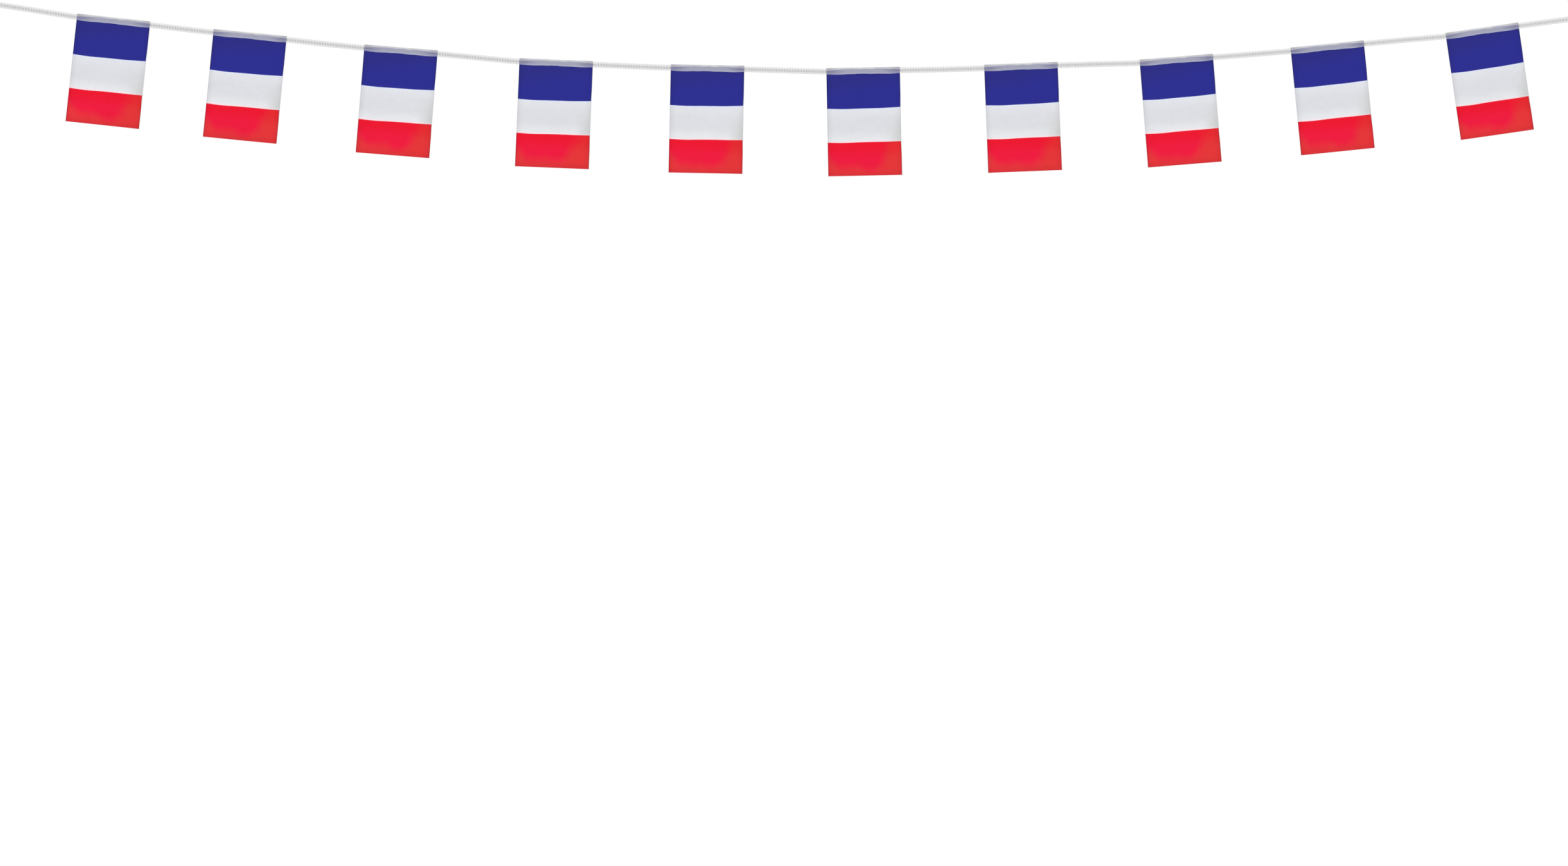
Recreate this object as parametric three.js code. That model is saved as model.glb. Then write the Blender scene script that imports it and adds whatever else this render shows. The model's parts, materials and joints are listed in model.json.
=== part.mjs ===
// A string of flag bunting as it hangs between two hooks: ten small printed cloth flags, each hemmed over
// one long flat knitted tape that is folded back into a loop at both ends.
// Millimetres. X runs along the string to the right, Y away from the side that is looked at, Z up.
// The origin is the inside of the left end loop's outer bend, where the hook bears.
import * as THREE from "three";

// Cloth flag
const FLAG_WIDTH = 150;
const FLAG_HEIGHT = 220; // top of the hem's fold to the foot
const BLUE_FOOT = 82.6; // the printed bands end this far below the flag's top
const WHITE_FOOT = 151.9;
const CLOTH = 1; // thickness of the sheet
const COLUMNS = 10; // steps across a flag
const BAND_ROWS = 3; // steps down each printed band

// Flat tape: two raised edges and a sunk middle
const TAPE_WIDTH = 11.6;
const TAPE_EDGE_THICKNESS = 2;
const TAPE_RIM_THICKNESS = 0.9;
const TAPE_MIDDLE_THICKNESS = 1.2;
const CREST_FROM_EDGE = 1.4;
const MIDDLE_HEIGHT = 4.8;
const TAPE_STEP = 76; // longest step along the tape, about the half of a flag

// Hem round the tape, measured from the middle of the tape
const GAP = 0.3; // between tape and cloth, and between the two layers of folded tape
const HEM_DEPTH = TAPE_EDGE_THICKNESS / 2 + GAP + CLOTH / 2; // to the middle of each layer
const HEM_TOP = TAPE_WIDTH / 2 + GAP + CLOTH;
const HEM_EDGE = -6.2; // the flap's cut edge, just under the tape
const FOLD_RADIUS = 1.2; // of the fold's two bends, at the middle of the cloth
const FOLD_STEPS = 2;
const HEM_WAVE = 0.5; // the cut edge wanders this far up and down

// Loop at each end of the tape
const LOOP_RADIUS = 24;
const LOOP_REACH = 62; // neck to the centre of the round bend
const LOOP_HALF_TURN = THREE.MathUtils.degToRad(112);
const LOOP_STEPS = 9;
const LAP = 35; // the folded-back end lies behind the tape this far in from the neck
const STRAND_SPACING = TAPE_EDGE_THICKNESS + GAP;

// The line of the tape's middle as it hangs, as X and Z. After the left loop's neck, each row holds the two
// ends of one flag's hem and then the middle of the gap that follows. The last point is the right neck.
const TAPE_ROUTE = [
  [84, -13.5],
  [286, -45.5], [435.5, -61.5], [500.5, -69.5],
  [564.5, -77], [714, -91.5], [793, -100.5],
  [872.5, -108.5], [1022, -120.5], [1105.5, -128.5],
  [1189, -136.5], [1339, -142.5], [1419, -146],
  [1498, -149], [1648, -152], [1731, -154.5],
  [1815.5, -157], [1965.5, -154], [2051, -152.5],
  [2137.5, -150], [2287.5, -144], [2371, -141.5],
  [2455, -139.5], [2604.5, -127.5], [2683, -121.5],
  [2763, -115], [2912.5, -100], [2996.5, -92],
  [3079.5, -85], [3228, -63.5],
  [3374.5, -44],
];
const POINTS_PER_FLAG = 3;

// How each flag hangs. swell: depth of its soft wave at the foot. phase: where the wave's crest lies, in
// turns. curl: how far the two lower corners come forward.
const FLAGS = [
  { swell: 1.8, phase: 0.1, curl: 1.5 },
  { swell: 1.4, phase: 0.45, curl: 2.2 },
  { swell: 2.0, phase: 0.7, curl: -1.2 },
  { swell: 1.5, phase: 0.25, curl: 1.8 },
  { swell: 1.9, phase: 0.9, curl: 1.0 },
  { swell: 1.3, phase: 0.6, curl: 2.4 },
  { swell: 2.1, phase: 0.35, curl: -1.5 },
  { swell: 1.6, phase: 0.0, curl: 2.0 },
  { swell: 1.7, phase: 0.8, curl: 1.2 },
  { swell: 2.0, phase: 0.5, curl: 1.7 },
];
const WAVES_ACROSS = 0.8; // waves of swell in a flag's width

const COLOURS = {
  hem: new THREE.Color("#c4c5d2"),
  blue: new THREE.Color("#2e3092"),
  white: new THREE.Color("#dee1e6"),
  red: new THREE.Color("#ee1c3a"),
};

const clothMaterial = new THREE.MeshStandardMaterial({ vertexColors: true, roughness: 0.85, metalness: 0 });
const tapeMaterial = new THREE.MeshStandardMaterial({ color: "#dcdcdb", roughness: 0.9, metalness: 0 });

// A line of points that a section is swept along, ring by ring, so that a ring lies on each point.
class RingLine extends THREE.Curve {
  constructor(rings) {
    super();
    this.rings = rings;
  }

  getPoint(t, target = new THREE.Vector3()) {
    const steps = this.rings.length - 1;
    const ring = Math.min(Math.floor(t * steps), steps - 1);
    return target.lerpVectors(this.rings[ring], this.rings[ring + 1], t * steps - ring);
  }

  getUtoTmapping(u) {
    return u;
  }
}

// The outline of a strip of even thickness along a line of 2D points.
function stripShape(line, thickness) {
  const sides = line.map((point, i) => {
    const before = line[Math.max(i - 1, 0)];
    const after = line[Math.min(i + 1, line.length - 1)];
    const along = after.clone().sub(before).normalize();
    const across = new THREE.Vector2(-along.y, along.x).multiplyScalar(thickness / 2);
    return [point.clone().add(across), point.clone().sub(across)];
  });
  const left = sides.map((side) => side[0]);
  const right = sides.map((side) => side[1]).reverse();
  return new THREE.Shape([...left, ...right]);
}

// Points with others put between them, so that no step is longer than the one given.
function subdivided(points, longest) {
  const result = [points[0]];
  for (let i = 1; i < points.length; i++) {
    const steps = Math.ceil(points[i].distanceTo(points[i - 1]) / longest);
    for (let step = 1; step <= steps; step++) {
      result.push(points[i - 1].clone().lerp(points[i], step / steps));
    }
  }
  return result;
}

// The tape's section, as depth and height: rim, raised edge and sunk middle, the same on both faces.
function tapeSection() {
  const halfWidth = TAPE_WIDTH / 2;
  const upperHalf = [
    [TAPE_MIDDLE_THICKNESS / 2, MIDDLE_HEIGHT / 2],
    [TAPE_EDGE_THICKNESS / 2, halfWidth - CREST_FROM_EDGE],
    [TAPE_RIM_THICKNESS / 2, halfWidth],
  ];
  const lowerHalf = upperHalf.map(([depth, height]) => [depth, -height]).reverse();
  const face = [...lowerHalf, ...upperHalf];
  const otherFace = face.map(([depth, height]) => [-depth, height]).reverse();
  return new THREE.Shape([...face, ...otherFace].map(([depth, height]) => new THREE.Vector2(depth, height)));
}

// The folded-back end of the tape, from its cut end behind the tape out round the loop, up to the neck.
function loopPoints(neck, next) {
  const outward = neck.clone().sub(next).normalize();
  const away = new THREE.Vector3(0, 1, 0);
  const at = (out, depth) => neck.clone().addScaledVector(outward, out).addScaledVector(away, depth);
  const points = [at(-LAP, STRAND_SPACING), at(0, STRAND_SPACING)];
  for (let step = 0; step <= LOOP_STEPS; step++) {
    const angle = LOOP_HALF_TURN * (1 - (2 * step) / LOOP_STEPS);
    const depth = STRAND_SPACING / 2 + LOOP_RADIUS * Math.sin(angle);
    points.push(at(LOOP_REACH + LOOP_RADIUS * Math.cos(angle), depth));
  }
  return points;
}

function makeTape(route) {
  const last = route.length - 1;
  const rings = [
    ...loopPoints(route[0], route[1]),
    ...subdivided(route, TAPE_STEP),
    ...loopPoints(route[last], route[last - 1]).reverse(),
  ];
  const path = new RingLine(rings);
  const geometry = new THREE.ExtrudeGeometry(tapeSection(), { extrudePath: path, steps: rings.length - 1 });
  const tape = new THREE.Mesh(geometry, tapeMaterial);
  tape.name = "tape";
  return tape;
}

// The middle line of a flag's cloth in side view, as depth and height: up the flap in front of the tape,
// over it in two bends, down behind it and on to the foot.
function clothLine() {
  const line = [new THREE.Vector2(-HEM_DEPTH, HEM_EDGE), new THREE.Vector2(-HEM_DEPTH, 0)];
  const bendDepth = HEM_DEPTH - FOLD_RADIUS;
  const bendHeight = HEM_TOP - CLOTH / 2 - FOLD_RADIUS;
  for (const side of [-1, 1]) {
    for (let step = 0; step <= FOLD_STEPS; step++) {
      const turned = (Math.PI / 2) * (step / FOLD_STEPS);
      const angle = side < 0 ? turned : Math.PI / 2 - turned;
      const depth = side * (bendDepth + FOLD_RADIUS * Math.cos(angle));
      line.push(new THREE.Vector2(depth, bendHeight + FOLD_RADIUS * Math.sin(angle)));
    }
  }
  line.push(new THREE.Vector2(HEM_DEPTH, 0), new THREE.Vector2(HEM_DEPTH, HEM_EDGE));
  const bandEnds = [HEM_EDGE, HEM_TOP - BLUE_FOOT, HEM_TOP - WHITE_FOOT, HEM_TOP - FLAG_HEIGHT];
  for (let band = 1; band < bandEnds.length; band++) {
    for (let row = 1; row <= BAND_ROWS; row++) {
      const height = THREE.MathUtils.lerp(bandEnds[band - 1], bandEnds[band], row / BAND_ROWS);
      line.push(new THREE.Vector2(HEM_DEPTH, height));
    }
  }
  return line;
}

// The flap's cut edge isn't ruled straight: it dips near both ends and lifts a little left of the middle.
function hemWave(across) {
  return -HEM_WAVE * Math.cos(2 * Math.PI * (2 * across - 0.3)) * Math.sin(Math.PI * across);
}

// Gives the flat hanging cloth its soft wave and curled corners. across and down run from 0 to 1.
function hangDepth(hang, across, down) {
  const wave = hang.swell * Math.cos(2 * Math.PI * (WAVES_ACROSS * across + hang.phase));
  const corner = (2 * across - 1) ** 2;
  return down ** 1.5 * wave - hang.curl * down ** 3 * corner;
}

function shapeCloth(geometry, hang) {
  const position = geometry.attributes.position;
  const point = new THREE.Vector3();
  for (let i = 0; i < position.count; i++) {
    point.fromBufferAttribute(position, i);
    const across = point.x / FLAG_WIDTH + 0.5;
    const down = Math.max(HEM_EDGE - point.z, 0) / (HEM_EDGE - HEM_TOP + FLAG_HEIGHT);
    if (point.y < 0 && point.z < 0) {
      point.z += hemWave(across) * (point.z / HEM_EDGE);
    } else {
      point.y += hangDepth(hang, across, down);
    }
    position.setXYZ(i, point.x, point.y, point.z);
  }
}

// Paints each face by its height on the flag: the unprinted hem, then the three bands.
function paintBands(geometry) {
  const position = geometry.attributes.position;
  const colours = new Float32Array(position.count * 3);
  for (let i = 0; i < position.count; i += 3) {
    const height = (position.getZ(i) + position.getZ(i + 1) + position.getZ(i + 2)) / 3;
    const below = HEM_TOP - height;
    let colour = COLOURS.red;
    if (height > HEM_EDGE) colour = COLOURS.hem;
    else if (below < BLUE_FOOT) colour = COLOURS.blue;
    else if (below < WHITE_FOOT) colour = COLOURS.white;
    for (let corner = i; corner < i + 3; corner++) colour.toArray(colours, corner * 3);
  }
  geometry.setAttribute("color", new THREE.BufferAttribute(colours, 3));
}

function makeFlag(index, hemStart, hemEnd) {
  const shape = stripShape(clothLine(), CLOTH);
  const geometry = new THREE.ExtrudeGeometry(shape, { depth: FLAG_WIDTH, steps: COLUMNS, bevelEnabled: false });
  const axes = new THREE.Matrix4().makeBasis(
    new THREE.Vector3(0, 1, 0),
    new THREE.Vector3(0, 0, 1),
    new THREE.Vector3(1, 0, 0),
  );
  geometry.translate(0, 0, -FLAG_WIDTH / 2).applyMatrix4(axes);
  paintBands(geometry);
  shapeCloth(geometry, FLAGS[index]);
  geometry.computeVertexNormals();
  const flag = new THREE.Mesh(geometry, clothMaterial);
  flag.name = `flag_${String(index + 1).padStart(2, "0")}`;
  flag.position.copy(hemStart).lerp(hemEnd, 0.5);
  flag.rotation.y = Math.atan2(hemStart.z - hemEnd.z, hemEnd.x - hemStart.x);
  return flag;
}

const route = TAPE_ROUTE.map(([x, z]) => new THREE.Vector3(x, 0, z));
const bunting = new THREE.Group();
bunting.add(makeTape(route));
FLAGS.forEach((hang, index) => {
  const first = 1 + index * POINTS_PER_FLAG;
  bunting.add(makeFlag(index, route[first], route[first + 1]));
});

export default bunting;
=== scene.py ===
"""A string of flag bunting as it hangs: ten blue, white and red cloth flags, hemmed over one knitted tape.

Shapes are worked out in millimetres and made in metres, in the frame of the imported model:
X along the string to the right, Y away from the side that is looked at, Z up.
"""
import json
import math

import bpy
import numpy as np
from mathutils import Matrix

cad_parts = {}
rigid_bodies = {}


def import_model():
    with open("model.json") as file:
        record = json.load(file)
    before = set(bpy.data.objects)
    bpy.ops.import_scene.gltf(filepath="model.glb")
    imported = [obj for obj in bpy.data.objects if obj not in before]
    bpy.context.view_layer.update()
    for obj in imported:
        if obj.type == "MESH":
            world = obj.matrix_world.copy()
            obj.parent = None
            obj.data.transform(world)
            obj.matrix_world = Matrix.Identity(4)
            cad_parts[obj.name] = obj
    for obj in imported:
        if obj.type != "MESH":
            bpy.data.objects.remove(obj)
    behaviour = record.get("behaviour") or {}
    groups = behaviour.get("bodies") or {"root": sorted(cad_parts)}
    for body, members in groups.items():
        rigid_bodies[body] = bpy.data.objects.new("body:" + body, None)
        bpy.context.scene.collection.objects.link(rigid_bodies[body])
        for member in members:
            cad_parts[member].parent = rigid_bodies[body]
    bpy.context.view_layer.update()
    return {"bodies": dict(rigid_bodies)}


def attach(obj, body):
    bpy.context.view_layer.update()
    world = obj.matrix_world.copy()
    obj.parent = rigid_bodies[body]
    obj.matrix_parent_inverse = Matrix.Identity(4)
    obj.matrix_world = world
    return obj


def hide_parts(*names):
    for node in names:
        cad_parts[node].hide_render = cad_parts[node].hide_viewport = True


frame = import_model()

MM = 0.001
BODY = next(iter(frame["bodies"]))
AWAY = np.array([0.0, 1.0, 0.0])
SHARP_ANGLE = math.radians(50)  # between two faces that meet in a sharp edge

# The photograph's framing
PHOTO_WIDTH_PX = 2480
PHOTO_HEIGHT_PX = 1370
MM_PER_PX = 1.29  # at the string
PHOTO_LEFT = 129.43  # X of the picture's left edge
PHOTO_TOP = -10.77  # Z of its top edge
CAMERA_DISTANCE = 15000
CAMERA_SEES_TO = 200  # metres
SENSOR_WIDTH = 36

# Cloth flag
FLAG_WIDTH = 150
FLAG_MIDDLE = FLAG_WIDTH / 2
FLAG_HEIGHT = 220.9  # top of the hem's fold to the foot
CLOTH_THICKNESS = 0.3
HALF_THICKNESS = CLOTH_THICKNESS / 2
FOLD_RADIUS = 1.0  # of the fold over the tape, at the middle of the cloth
FOLD_CENTRE = 5.95  # height above the tape's middle
FLAG_TOP = FOLD_CENTRE + FOLD_RADIUS + HALF_THICKNESS
HALF_FOLD = math.pi / 2 * FOLD_RADIUS
FOLD_ALLOWANCE = HALF_FOLD + FOLD_CENTRE - FLAG_TOP  # more cloth than depth below the top, on either side
HEM_DRAWN_IN = 0.7  # the stitches make the hem this much narrower than the foot
FOLD_BUMP = 0.08  # the tape's knitted edge shows as small bumps along the fold
FOLD_BUMP_PITCH = 2.8
FOOT_WAVE = 0.1  # the heat-cut foot is a little wavy
FOOT_WAVE_PITCH = 6
YARN_PITCH = 0.55
CREASE_MIDDLE = 95.5  # of a small crease on the fold, which has painted shade

# Lines across a flag: distance from its left edge, and depth below its top. The print begins at PRINT_TOP,
# on the cloth behind the tape. PUCKER_FOOT is the lower edge of a small fold at the top of the hem, which
# has a painted highlight, and it lies above the top where there is no such fold.
FLAP_FOOT = [
    (0, 12.5), (12, 13.3), (22, 13.6), (32, 13.65), (41, 13.25), (50, 13.0),
    (58, 13.1), (63, 12.65), (69, 12.35), (74, 12.6), (78, 12.45), (84, 13.0),
    (90, 13.25), (104, 13.1), (128, 13.65), (138, 13.3), (150, 12.4),
]
PRINT_TOP = [
    (0, 5.6), (12, 4.8), (24, 3.9), (38, 3.4), (54, 3.05), (64, 3.75), (80, 3.3),
    (91, 3.9), (102, 3.0), (122, 3.6), (134, 4.4), (142, 4.6), (150, 5.7),
]
PUCKER_FOOT = [(0, -1), (56, -1), (63, 0.6), (70, 1.5), (80, 1.5), (91, 2.9), (95, 2.8), (103, -1), (150, -1)]
STITCH_LINE = [(0, 10.0), (20, 10.25), (38, 10.55), (75, 10.85), (95, 10.7), (118, 10.3), (150, 9.8)]
BLUE_FOOT = [(0, 83.1), (34, 84.4), (62, 84.0), (88, 83.8), (108, 83.65), (128, 82.95), (150, 82.0)]
WHITE_FOOT = [(0, 152.15), (30, 153.2), (68, 152.4), (98, 152.2), (118, 152.3), (150, 151.8)]

# Mesh of a flag: steps along the cloth in each stretch, from the flap's cut edge to the foot
EDGE_STEPS = 3  # cut edge to the row of stitches
FLAP_STEPS = 12  # stitches to the fold
FOLD_STEPS = 6
HEM_STEPS = 14  # fold to just under the hem
HEM_FINE_TO = 20  # depth below the top where the wide steps begin
MAIN_STEP = 3.2
NORMAL_REACH = 0.05  # the cloth's direction at a point is taken from points this far away
STITCHES = 44  # in a flag's width
COLUMNS_PER_STITCH = 4
STITCH_PITCH = FLAG_WIDTH / STITCHES

# How each flag hangs. swell: depth of its soft wave at the foot. phase: where the wave's crest lies, in
# turns. curl: how far the two lower corners come forward.
FLAGS = [
    {"swell": 1.8, "phase": 0.1, "curl": 1.5},
    {"swell": 1.4, "phase": 0.45, "curl": 2.2},
    {"swell": 2.0, "phase": 0.7, "curl": -1.2},
    {"swell": 1.5, "phase": 0.25, "curl": 1.8},
    {"swell": 1.9, "phase": 0.9, "curl": 1.0},
    {"swell": 1.3, "phase": 0.6, "curl": 2.4},
    {"swell": 2.1, "phase": 0.35, "curl": -1.5},
    {"swell": 1.6, "phase": 0.0, "curl": 2.0},
    {"swell": 1.7, "phase": 0.8, "curl": 1.2},
    {"swell": 2.0, "phase": 0.5, "curl": 1.7},
]
WAVES_ACROSS = 0.8  # waves of swell in a flag's width
SWELL_POWER = 1.5  # the wave grows with this power of the way down
CURL_POWER = 3
FREE_FROM = -6.2  # height where the cloth leaves the hem and begins to swing

# Relief of the cloth. A pair of depths below the top says where a form begins to show, or to end, and where
# that is complete. A wave is given by its height, its length in one radian, and a multiple of the phase.
PUFF = 0.22  # of the flap over the tape
PUFF_RISES = (1.2, 4)
PUFF_ENDS = (6, 9.5)
PUFF_VARIES = 0.4  # the share of it that comes and goes across the flag
PUFF_LENGTHS = (11, 4.7)  # in one radian, of the two waves in which it does
FLAP_PINCH = 0.17  # at the row of stitches
MAIN_PINCH = 0.15
PINCH_REACH = 0.9
PINCH_VARIES = 0.3
FLAP_EDGE = 0.45  # the flap's edge leans this far back below the stitches
FLAP_EDGE_REACH = 2.4
FLAP_TUCK = 0.3  # and this much more at the very end
FLAP_TUCK_AT = (12.3, 13.4)
FRILL = [(0.06, 3.1, 1), (0.048, 7.3, 3)]
PUCKER = 0.2
PUCKER_EDGE = 0.4  # on both sides of its foot
PUCKER_RISES = (1.2, 1.8)
MAIN_LEAN = 0.55  # the cloth behind the tape comes forward below the stitches
MAIN_LEAN_TO = 15.5
GATHERS = [(0.07, 2.3, 1), (0.056, 3.7, 2), (0.042, 7.1, 0)]
GATHERS_RISE = (11, 16)
GATHERS_FADE_FROM = 14
GATHERS_FADE = 16  # further down in which they shrink to about a third
SIDE_CURL = 0.3  # the sides come this much forward
SIDE_CURL_REACH = 2.5
SIDE_CURL_RISES = (14, 60)
WRINKLES = 9  # faint ones, scattered over each flag, with these ranges of place, direction and size
WRINKLE_RANGES = {
    "x": (12, 138),
    "below": (28, 205),
    "turn": (-0.6, 0.6),
    "reach": (10, 30),
    "width": (4, 8),
    "depth": (-0.3, 0.3),
}
WRINKLE_BEND = 0.6

# Knitted tape: two raised edges and a sunk middle that slanted bars cross
BAR_PITCH = 5.59
FIRST_GAP = 2.0  # middle of the first gap between two bars, from the tape's cut end
BAR_SLANT = 0.36  # the bars lean to the left as they rise
BAR_HALF_HEIGHT = 2.4
SECTION_HEIGHTS = [5.8, 5.2, 4.4, 3.5, 2.6, 1.3, 0]
BAR_THICKNESS = [0.25, 0.6, 0.75, 0.7, 0.62, 0.6, 0.6]  # half the tape's, at these heights
GAP_THICKNESS = [0.25, 0.6, 0.75, 0.66, 0.42, 0.32, 0.3]
RIM_BULGE = 0.12
RIM_FROM = 5.5  # distance from the tape's middle
EDGE_CREST = 4.4  # of its raised edges, from the tape's middle
RING_OFFSETS = [-1.7, -1.1, 0, 1.1, 1.7, BAR_PITCH / 2]  # from the middle of a gap between two bars
RING_IN_GAP = [0, 1, 1, 1, 0, 0]
HEM_SQUEEZE = 0.08  # the hem makes the tape this much narrower
SQUEEZE_LEAD = 4  # which begins this far outside it
HIDDEN_FROM = 12  # this far inside a hem, the tape is out of sight and has fewer rings

# The line of the tape's middle as it hangs, as X and Z. After the left loop's neck, each row holds the two
# ends of one flag's hem and then the middle of the gap that follows. The last point is the right neck.
TAPE_ROUTE = [
    (84, -13.5),
    (286, -45.5), (435.5, -61.5), (500.5, -69.5),
    (564.5, -77), (714, -91.5), (793, -100.5),
    (872.5, -108.5), (1022, -120.5), (1105.5, -128.5),
    (1189, -136.5), (1339, -142.5), (1419, -146),
    (1498, -149), (1648, -152), (1731, -154.5),
    (1815.5, -157), (1965.5, -154), (2051, -152.5),
    (2137.5, -150), (2287.5, -144), (2371, -141.5),
    (2455, -139.5), (2604.5, -127.5), (2683, -121.5),
    (2763, -115), (2912.5, -100), (2996.5, -92),
    (3079.5, -85), (3228, -63.5),
    (3374.5, -44),
]
POINTS_PER_FLAG = 3
LOOP_RADIUS = 24
LOOP_REACH = 62  # neck to the centre of the round bend
LOOP_HALF_TURN = math.radians(112)
LOOP_STEPS = 40
LAP = 35  # the folded-back end lies behind the tape this far in from the neck
STRAND_SPACING = 1.6
PATH_STEP = 0.5
SMOOTH_REACH = 9

# Sewing thread
THREAD_RADIUS = 0.19
THREAD_SIDES = 6
STITCH_POINTS = 5
STITCH_HALF_LENGTH = 1.35
STITCH_LIFT = 0.13  # a stitch's middle lies this high on the cloth
STITCH_DIP = 0.34  # its ends lie this much deeper
STITCH_RISE = 0.3  # how far a stitch's inner end is above its middle, at the ends of a hem
BAR_TACKS = [8, 28]  # distance of each bar of stitches from the loop's neck
BAR_TACK_STITCHES = 9
BAR_TACK_POINTS = 9
BAR_TACK_HALF_HEIGHT = 4
BAR_TACK_STEP = 0.5
BAR_TACK_LIFT = 0.1  # and dip, as for the stitches of a hem
BAR_TACK_DIP = 0.4

# Studio
FLOOR_HEIGHT = -3000
FLOOR_RADIUS = 20000
FLOOR_SIDES = 128
FLOOR_PALE_TO = 5000  # from there it brightens to its rim
SKY_LIGHT = 0.78
SUN_SHARE = 0.23  # of the light on a white surface that faces the camera
SUN_ANGLE = math.radians(25)
SUN_FROM = (-0.45, -1.0, 0.75)
BACK_SUN_SHARE = 0.12
BACK_SUN_FROM = (0.5, 1.0, 0.6)


def unit(vectors):
    return vectors / np.linalg.norm(vectors, axis=-1, keepdims=True)


def rise(value, low, high):
    """0 up to low, 1 from high on, and a smooth step between them."""
    share = np.clip((value - low) / (high - low), 0, 1)
    return share * share * (3 - 2 * share)


def depth_of(line, x):
    """The depth at x of one of the lines across a flag, as a smooth curve through its points."""
    at, depth = np.array(line, float).T
    slope = np.gradient(depth, at)
    left = np.clip(np.searchsorted(at, x) - 1, 0, len(at) - 2)
    span = at[left + 1] - at[left]
    share = (x - at[left]) / span
    back = 1 - share
    through = back**2 * (1 + 2 * share) * depth[left] + share**2 * (1 + 2 * back) * depth[left + 1]
    return through + span * share * back * (back * slope[left] - share * slope[left + 1])


# Mesh building


def make_piece(name, points, faces, material, attributes=None):
    """A mesh object from points in millimetres, with named values on its points for the material."""
    mesh = bpy.data.meshes.new(name)
    mesh.from_pydata((points * MM).tolist(), [], faces)
    for key, values in (attributes or {}).items():
        kind = "FLOAT_VECTOR" if values.ndim == 2 else "FLOAT"
        field = "vector" if values.ndim == 2 else "value"
        made = mesh.attributes.new(key, kind, "POINT")
        made.data.foreach_set(field, values.astype(np.float32).ravel())
    mesh.polygons.foreach_set("use_smooth", [True] * len(mesh.polygons))
    mesh.set_sharp_from_angle(angle=SHARP_ANGLE)
    mesh.materials.append(material)
    piece = bpy.data.objects.new(name, mesh)
    bpy.context.collection.objects.link(piece)
    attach(piece, BODY)
    return piece


def tube_faces(tubes, rings, sides):
    """Faces of closed tubes whose points are numbered by tube, then by ring, then round the ring."""
    index = np.arange(tubes * rings * sides).reshape(tubes, rings, sides)
    turned = np.roll(index, -1, axis=2)
    quads = [index[:, :-1], turned[:, :-1], turned[:, 1:], index[:, 1:]]
    faces = np.stack(quads, axis=-1).reshape(-1, 4).tolist()
    return faces + index[:, 0, ::-1].tolist() + index[:, -1].tolist()


def make_threads(name, paths, outward, material):
    """Short sewn threads. paths holds the points of each one, and outward the side that each faces."""
    along = unit(np.gradient(paths, axis=1))
    beside = unit(np.cross(along, outward))
    over = np.cross(beside, along)
    turn = np.linspace(0, 2 * math.pi, THREAD_SIDES, endpoint=False)[:, None]
    ring = np.cos(turn) * over[:, :, None] + np.sin(turn) * beside[:, :, None]
    points = (paths[:, :, None] + THREAD_RADIUS * ring).reshape(-1, 3)
    faces = tube_faces(paths.shape[0], paths.shape[1], THREAD_SIDES)
    return make_piece(name, points, faces, material)


# Shader building


def colour(red, green, blue):
    """A screen colour, 0 to 255, as the linear colour that a shader takes."""
    shares = [value / 255 for value in (red, green, blue)]
    return (*[s / 12.92 if s <= 0.04045 else ((s + 0.055) / 1.055) ** 2.4 for s in shares], 1)


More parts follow.
